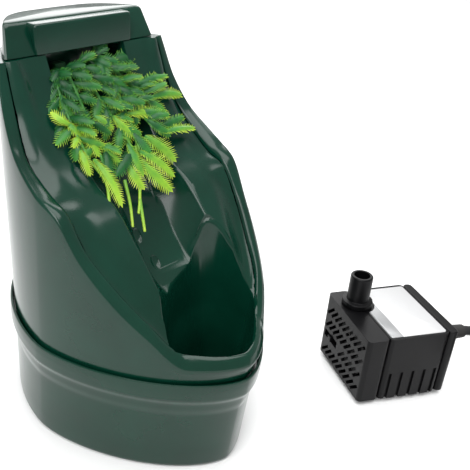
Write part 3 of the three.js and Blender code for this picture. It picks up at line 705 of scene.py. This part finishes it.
def tower_shell():
    shell = tower_skin("tower", 0, 0, SKIRT, FINE, 14)
    core = tower_skin("core", WALL, WALL, SKIRT - 6, 120, 3)
    cut(core, block("lower", (-90, -120, SEAM - WALL), (90, 120, 260)), channel_body("wide", WALL, False),
        well_cup("cup_out", 2, (WELL_FLOOR - WALL, 49.37, 73, 150)))
    cut(shell, block("lid", (-90, -120, SEAM), (90, 120, 260)), core)
    join(shell, well_cup("cup", 1.9, (WELL_FLOOR - WALL, 49.13, 68)))
    cut(shell, channel_body("channel", 0, True))
    for x, y in DIMPLES:
        z = along(CHANNEL, y)
        slope = math.atan(along(CHANNEL, y + 1) - z)
        ball = [(math.sin(a), -math.cos(a)) for a in (math.pi * i / 16 for i in range(1, 16))]
        cut(shell, spun("dimple", [(0, -1)] + ball + [(0, 1)], 40, Matrix.Translation((x, y, z + 1.45))
                        @ Matrix.Rotation(slope, 4, "X") @ Matrix.Diagonal((3.0, 4.6, 1.95, 1))))
    outline = well_outline(2)
    heights = surface_heights(shell, outline)
    loops = [well_ring(outline, z, grow) for z, grow in (
        (13, -3), (13.3, -1.8), (14, -0.7), (15.2, -0.1), (18, 0), (30, 0), (42, 0), (50, 0), (56, 0), (62, 0), (67, 0))]
    loops += [well_ring(outline, dz, grow, heights) for dz, grow in (
        (-2.6, 0), (-1.5, 0.15), (-0.8, 0.4), (-0.3, 0.7), (0.1, 1.05), (0.5, 1.4), (60, 1.4))]
    cut(shell, loft("well", loops))
    cut(shell, block("access", (-20, 55, SEAM - 6), (20, 68, SEAM + 4)))
    port = spun("port", [(0, -4), (6.6, -4), (6.6, 8), (0, 8)], 48,
                Matrix.Translation((0, 48, 173)) @ Matrix.Rotation(-math.pi / 2, 4, "X"))
    cut(shell, port)
    for i in range(5):
        hole = spun("drain", [(0, 7), (2.2, 7), (2.2, 16), (0, 16)], 32, Matrix.Translation((-12 + i * 6, -55, 0)))
        cut(shell, hole)
    return finish(tidy(shell, 34), GREEN, "tower", "tower_shell")


# ------------------------------------------------------------------ top cover
def cover_outline(t, inset, count=48):
    """Cover outline a share of the way up: fine points from its right front corner round the back."""
    half = [(lerp(f[0], p[0], t), lerp(f[1], p[1], t)) for f, p in zip(COVER_FOOT, COVER_TOP)]
    full = half + [(-x, y) for x, y in reversed(half[:-1])]
    run = [0.0]
    for a, b in zip(full, full[1:]):
        run.append(run[-1] + math.hypot(b[0] - a[0], b[1] - a[1]))
    xs = [(d, p[0]) for d, p in zip(run, full)]
    ys = [(d, p[1]) for d, p in zip(run, full)]
    ring = []
    for i in range(count + 1):
        d = run[-1] * i / count
        ring.append(Vector((along(xs, d), along(ys, d))))
    front = ring[0].y
    corner = 3.0
    ring = [Vector((ring[0].x - corner, front)), Vector((ring[0].x - corner * 0.35, front + corner * 0.08)),
            ring[0] + Vector((-corner * 0.08, corner * 0.4))] + ring[2:-2] + [
            ring[-1] + Vector((corner * 0.08, corner * 0.4)), Vector((ring[-1].x + corner * 0.35, front + corner * 0.08)),
            Vector((ring[-1].x + corner, front))]
    wide = max(p.x for p in ring)
    back = max(p.y for p in ring)
    middle, deep = (front + back) / 2, (back - front) / 2
    return [Vector((p.x * (1 - inset / wide), middle + (p.y - middle) * (1 - inset / deep))) for p in ring]


def cover_loop(z, t, inset):
    return [(p.x, p.y, z) for p in cover_outline(t, inset)]


def lip_loop(z, grow, front):
    """Box-shaped lip seen from above, with rounded outer corners and hollow fillets where it joins the cover."""
    half, y0 = LIP_HALF + grow, LIP_FRONT - grow + front
    r = 2.0
    right = [(half - r, y0), (half - r * 0.4, y0 + 0.25), (half - 0.12, y0 + r * 0.55), (half, y0 + r),
             (half, 43.0), (half + 0.5, 44.6), (half + 2.2, 46.2), (half + 4.0, 47.0), (half + 4.0, 52.0)]
    left = [(-x, y) for x, y in reversed(right)]
    return [(x, y, z) for x, y in right + left]


def top_cover():
    foot = SEAM + GAP
    levels = [(foot, 0.25), (foot + 0.3, 0.0)] + [(foot + 0.3 + i * 1.9, 0) for i in range(1, 7)]
    levels += [(TOWER_TOP - 2.4, 0), (TOWER_TOP - 1.5, 0.15), (TOWER_TOP - 0.8, 0.55), (TOWER_TOP - 0.3, 1.2), (TOWER_TOP, 2.3)]
    span = TOWER_TOP - SEAM
    outside = loft("cover", [cover_loop(z, (z - SEAM) / span, inset) for z, inset in levels])
    lip_levels = [(foot, -0.3, 0), (foot + 0.35, 0, 0), (LIP_TOP - 1.8, 0, 0), (LIP_TOP - 0.9, -0.15, 0),
                  (LIP_TOP - 0.35, -0.5, 0), (LIP_TOP - 0.05, -1.1, 0), (LIP_TOP + 0.05, -2.2, 0)]
    lip = loft("lip", [lip_loop(z, grow, front) for z, grow, front in lip_levels])
    join(outside, lip)
    hollow = loft("hollow", [cover_loop(z, (z - SEAM) / span, inset) for z, inset in (
        (foot - 3, WALL), (TOWER_TOP - 5, WALL), (TOWER_TOP - WALL, WALL + 1.5))])
    cut(outside, hollow, block("lip_hollow", (-LIP_HALF + 2, LIP_FRONT + 2, foot - 3), (LIP_HALF - 2, 50, LIP_TOP - 2.2)))
    for side in (-1, 1):
        x0, x1 = sorted((side * 19.5, side * 17.7))
        join(outside, block("tab", (x0, 58, SEAM - 5), (x1, 65, TOWER_TOP - WALL + 0.5)))
    return finish(tidy(outside, 38), GREEN, "cover", "top_cover")


# ------------------------------------------------------------------ artificial plant
random.seed(11)
FACING = Vector((-0.35, -0.62, 0.7)).normalized()


class Foliage:
    """Leaves and stems gathered in one mesh, with a tint for each vertex."""

    def __init__(self):
        self.points, self.faces, self.tints = [], [], []

    def vertex(self, p, tint):
        self.points.append(tuple(p))
        self.tints.append(min(max(tint, 0.0), 1.0))
        return len(self.points) - 1

    def leaf(self, base, tip, width, tint, droop=1.2, roll=0.0):
        """Flat blade folded along its rib, with a fringe of forward-leaning needles down both edges."""
        base, tip = Vector(base), Vector(tip)
        run = tip - base
        length = run.length
        run.normalize()
        side = run.cross(FACING).normalized()
        out = side.cross(run).normalized()
        side = side * math.cos(roll) + out * math.sin(roll)
        out = side.cross(run).normalized()
        teeth = max(7, round(length / 1.15))
        bow = random.uniform(-0.06, 0.06) * length

        def centre(s):
            lift = droop * (math.sin(math.pi * s) - 0.8 * s * s)
            return base + run * (length * s) + out * lift + side * (bow * math.sin(math.pi * s))

        def half(s):
            return width / 2 * min(1.0, 0.22 + 1.5 * s ** 0.8) * (1 - max(0.0, s - 0.55) ** 2 * 2.6)

        spine, edges = [], {-1: [], 1: []}
        for i in range(teeth + 1):
            s = 0.04 + 0.93 * i / teeth
            c = centre(s)
            glow = tint + 0.28 * (s - 0.4)
            spine.append(self.vertex(c + out * 0.15, glow - 0.05))
            for way in (-1, 1):
                edges[way].append(self.vertex(c + side * (way * half(s) * 0.42) - out * 0.25 * half(s) * 0.5, glow))
        for i in range(teeth):
            for way in (-1, 1):
                a, b = edges[way][i], edges[way][i + 1]
                quad = [spine[i], spine[i + 1], b, a]
                self.faces.append(quad if way > 0 else quad[::-1])
                s = 0.04 + 0.93 * (i + 1.3) / teeth
                c = centre(min(s, 1.0))
                reach = half(min(s, 1.0)) * random.uniform(1.0, 1.25)
                needle = self.vertex(c + side * (way * reach) + run * 0.6 - out * reach * random.uniform(-0.1, 0.35),
                                     tint + 0.3 + 0.25 * s)
                share = 0.72
                middle = self.vertex(Vector(self.points[a]).lerp(Vector(self.points[b]), share), tint + 0.12)
                spike = [a, middle, needle]
                self.faces.append(spike[::-1] if way > 0 else spike)
        end = self.vertex(centre(1.04), tint + 0.45)
        self.faces.append([spine[-1], end, edges[1][-1]])
        self.faces.append([spine[-1], edges[-1][-1], end])

    def stem(self, line, thick, thin, tint, sides=7):
        """Round tapering stem along a smooth line."""
        pts = [Vector(p) for p in line]
        fine = []
        for i in range(len(pts) - 1):
            p0, p1, p2, p3 = pts[max(i - 1, 0)], pts[i], pts[i + 1], pts[min(i + 2, len(pts) - 1)]
            for k in range(6):
                t = k / 6
                fine.append(0.5 * ((2 * p1) + (p2 - p0) * t + (2 * p0 - 5 * p1 + 4 * p2 - p3) * t * t
                                   + (3 * p1 - p0 - 3 * p2 + p3) * t ** 3))
        fine.append(pts[-1])
        rings = []
        for i, p in enumerate(fine):
            run = (fine[min(i + 1, len(fine) - 1)] - fine[max(i - 1, 0)]).normalized()
            a = run.cross(FACING).normalized()
            b = a.cross(run)
            share = i / (len(fine) - 1)
            r = lerp(thick, thin, share)
            rings.append([self.vertex(p + (a * math.cos(w) + b * math.sin(w)) * r, tint + 0.25 * share)
                          for w in angles(sides)])
        for one, two in zip(rings, rings[1:]):
            for i in range(sides):
                j = (i + 1) % sides
                self.faces.append([one[i], one[j], two[j], two[i]])
        self.faces.append(rings[0][::-1])
        self.faces.append(rings[-1])
        return fine

    def piece(self, name, material, body, *nodes, thickness=0.28):
        piece = mesh_piece(name, self.points, self.faces)
        colours = piece.data.color_attributes.new("tint", "FLOAT_COLOR", "POINT")
        for spot, tint in zip(colours.data, self.tints):
            spot.color = (tint, tint, tint, 1)
        if thickness:
            modifier = piece.modifiers.new("thickness", "SOLIDIFY")
            modifier.thickness = thickness * MM
            modifier.offset = 0
            applied(piece)
        for face in piece.data.polygons:
            face.use_smooth = True
        piece.data.set_sharp_from_angle(angle=math.radians(50))
        return finish(piece, material, body, *nodes)


# Leaves seen one by one: base, tip, width, tint (0 dark green, 1 yellow).
LEFT_LEAVES = (
    ((-25, 17, 160), (-31, 24, 166), 6.0, 0.72), ((-26, 20, 161), (-22, 12, 155), 5.5, 0.6),
    ((-22, 29, 172), (-21, 18, 160), 6.0, 0.42), ((-20, 17, 160), (-18, 4, 147), 6.5, 0.62),
    ((-23, 13, 155), (-28, 10, 152), 5.0, 0.66), ((-26, 8, 151), (-27, -1, 141), 5.5, 0.7),
    ((-22, 4, 147), (-19, -15, 128), 6.5, 0.68), ((-20, 26, 169), (-19, 12, 156), 6.0, 0.3),
    ((-12, 6, 149), (-18, -6, 138), 7.0, 0.2), ((-15, 9, 152), (-9, -2, 142), 5.5, 0.55))
MIDDLE_LEAVES = (
    ((-10, 19, 161), (-3, 12, 155), 6.0, 0.6), ((0, 17, 160), (7, 7, 150), 6.0, 0.64),
    ((8, 16, 159), (28, 15, 158), 7.0, 0.66), ((-2, 20, 163), (21, 23, 165), 6.0, 0.45),
    ((11, 6, 150), (23, -6, 137), 8.5, 0.6), ((4, 1, 145), (18, -11, 132), 8.0, 0.62),
    ((2, -2, 142), (12, -16, 127), 8.5, 0.64), ((-5, -2, 141), (-3, -12, 131), 7.0, 0.66),
    ((3, 3, 146), (-14, -5, 139), 8.0, 0.16), ((6, 8, 152), (10, -4, 140), 7.0, 0.36),
    ((0, 5, 149), (0, -8, 136), 7.0, 0.5))
RIGHT_LEAVES = (
    ((23, 25, 169), (46, 28, 171), 6.5, 0.34), ((28, 20, 163), (48, 18, 162), 6.5, 0.5),
    ((22, 21, 164), (33, 11, 154), 6.0, 0.4), ((22, 8, 151), (42, 9, 153), 5.5, 0.3),
    ((22, 6, 149), (45, 4, 148), 6.0, 0.52), ((18, 12, 155), (27, 3, 147), 6.0, 0.3),
    ((14, 36, 181), (31, 38, 183), 8.5, 0.2), ((6, 35, 180), (20, 34, 180), 7.0, 0.16))
# Bare stems that hang below the leaves.
BARE = (
    ((-24, 4, 147), (-21, -5, 139), (-24, -12, 131), (-26, -15, 127)),
    ((-10, -6, 136), (-13, -14, 127), (-17, -21, 119)),
    ((5, 4, 147), (-1, -6, 137), (-7, -14, 128), (-11, -18, 123)),
    ((-7, -14, 128), (-10, -20, 121), (-12, -24, 116)))
# Main stems: they leave the spout together and fan out.
STEMS = (
    ((-14, 44, 176), (-20, 36, 180), (-23, 26, 170), (-24, 14, 158), (-24, 3, 147)),
    ((-12, 44, 176), (-14, 36, 182), (-14, 24, 169), (-16, 10, 154), (-18, -2, 142)),
    ((-10, 44, 177), (-4, 37, 183), (-3, 26, 171), (0, 14, 158), (3, 2, 145)),
    ((-10, 44, 178), (4, 38, 184), (8, 28, 174), (8, 14, 159), (5, 0, 144)),
    ((-9, 44, 178), (8, 38, 184), (16, 30, 175), (23, 24, 167), (29, 20, 163)),
    ((-9, 44, 177), (6, 38, 183), (12, 26, 171), (17, 14, 158), (23, 6, 150)))


def plant():
    groups = {"left": Foliage(), "middle": Foliage(), "right": Foliage()}
    owners = ("left", "left", "middle", "middle", "right", "right")
    for owner, line in zip(owners, STEMS):
        fine = groups[owner].stem(line, 0.9, 0.55, 0.3)
        reach = len(fine)
        for i in range(5, reach - 4, 2):
            share = i / reach
            at = fine[i]
            run = (fine[i + 2] - fine[i - 2]).normalized()
            across = run.cross(FACING).normalized()
            for way in (-1, 1):
                if random.random() < 0.12:
                    continue
                lean = random.uniform(0.45, 1.15)
                lift = random.uniform(-0.1, 0.45)
                heading = (run * math.cos(lean) + across * (way * math.sin(lean)) + FACING * lift).normalized()
                size = random.uniform(9.5, 14.5)
                tip = at + heading * size
                tint = 0.02 + 0.44 * share ** 1.7 + random.uniform(-0.06, 0.2)
                groups[owner].leaf(at, tip, random.uniform(5.0, 7.0), tint, roll=random.uniform(-0.5, 0.5))
    for owner, leaves in (("left", LEFT_LEAVES), ("middle", MIDDLE_LEAVES), ("right", RIGHT_LEAVES)):
        for base, tip, width, tint in leaves:
            lift = FACING * 2.0
            groups[owner].leaf(Vector(base) + lift, Vector(tip) + lift, width, tint, roll=random.uniform(-0.25, 0.25))
    for line in BARE:
        groups["middle"].stem(line, 0.75, 0.5, 0.6)
    for owner, group in groups.items():
        group.piece("plant_leaves_" + owner, LEAF, "plant", "plant_spray_" + owner)


def floor_and_lights():
    bm = bmesh.new()
    bmesh.ops.create_grid(bm, x_segments=8, y_segments=8, size=6.0)
    data = bpy.data.meshes.new("floor")
    bm.to_mesh(data)
    bm.free()
    floor = bpy.data.objects.new("floor", data)
    bpy.context.collection.objects.link(floor)
    n = Nodes("pale_floor")
    n.link(n.ramp(n.noise(3.0, 3.0), ((0.3, (0.86, 0.86, 0.86)), (0.7, (0.88, 0.88, 0.88)))), n.shader.inputs["Base Color"])
    n.shader.inputs["Roughness"].default_value = 0.9
    n.shader.inputs["Specular IOR Level"].default_value = 0.1
    data.materials.append(n.material)

    world = bpy.data.worlds.new("studio")
    bpy.context.scene.world = world
    world.use_nodes = True
    world.node_tree.nodes["Background"].inputs["Color"].default_value = (1, 1, 1, 1)
    world.node_tree.nodes["Background"].inputs["Strength"].default_value = 0.5

    target = Vector((0.03, -0.02, 0.1))
    for name, place, size, power in (
            ("back_panel", (0.8, 1.0, 0.95), (1.5, 1.0), 17.0),
            ("key_panel", (-0.9, -0.35, 1.1), (0.9, 0.9), 14.0),
            ("top_panel", (0.1, -0.2, 1.5), (1.2, 1.2), 18.0)):
        light = bpy.data.lights.new(name, "AREA")
        light.shape = "RECTANGLE"
        light.size, light.size_y = size
        light.energy = power
        lamp = bpy.data.objects.new(name, light)
        bpy.context.collection.objects.link(lamp)
        lamp.location = place
        lamp.rotation_euler = (target - Vector(place)).to_track_quat("-Z", "Y").to_euler()
    bpy.context.scene.view_settings.view_transform = "Standard"


# ------------------------------------------------------------------ build
PLUG_PIECES = [refined("plug_body", 1.6, 45, 3), refined("plug_pin_1", 0.3), refined("plug_pin_2", 0.3),
               refined("cord_tie", 0.4)]
cord = curve_piece("mains_cord", cord_points(), CORD_D / 2, CORD, "pump")
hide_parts("power_cord", "cord_coil")

base_tub()
tower_shell()
top_cover()
plant()
for node_name, bevel in (
        ("pump_housing", 0.45), ("rear_cap", 0.6), ("intake_cover", 0.35), ("flow_regulator", 0.25),
        ("outlet_nozzle", 0.3), ("cord_gland", 0.3), ("suction_foot_1", 0.2), ("suction_foot_2", 0.2),
        ("suction_foot_3", 0.2), ("suction_foot_4", 0.2), ("riser_hose", 0), ("spout_elbow", 0),
        ("hose_clip_1", 0.3), ("hose_clip_2", 0.3), ("impeller", 0.2), ("rotor_magnet", 0.3),
        ("chamber_cover", 0.2), ("label_plate", 0.0), ("plant_peg", 0.4)):
    refined(node_name, bevel)
floor_and_lights()
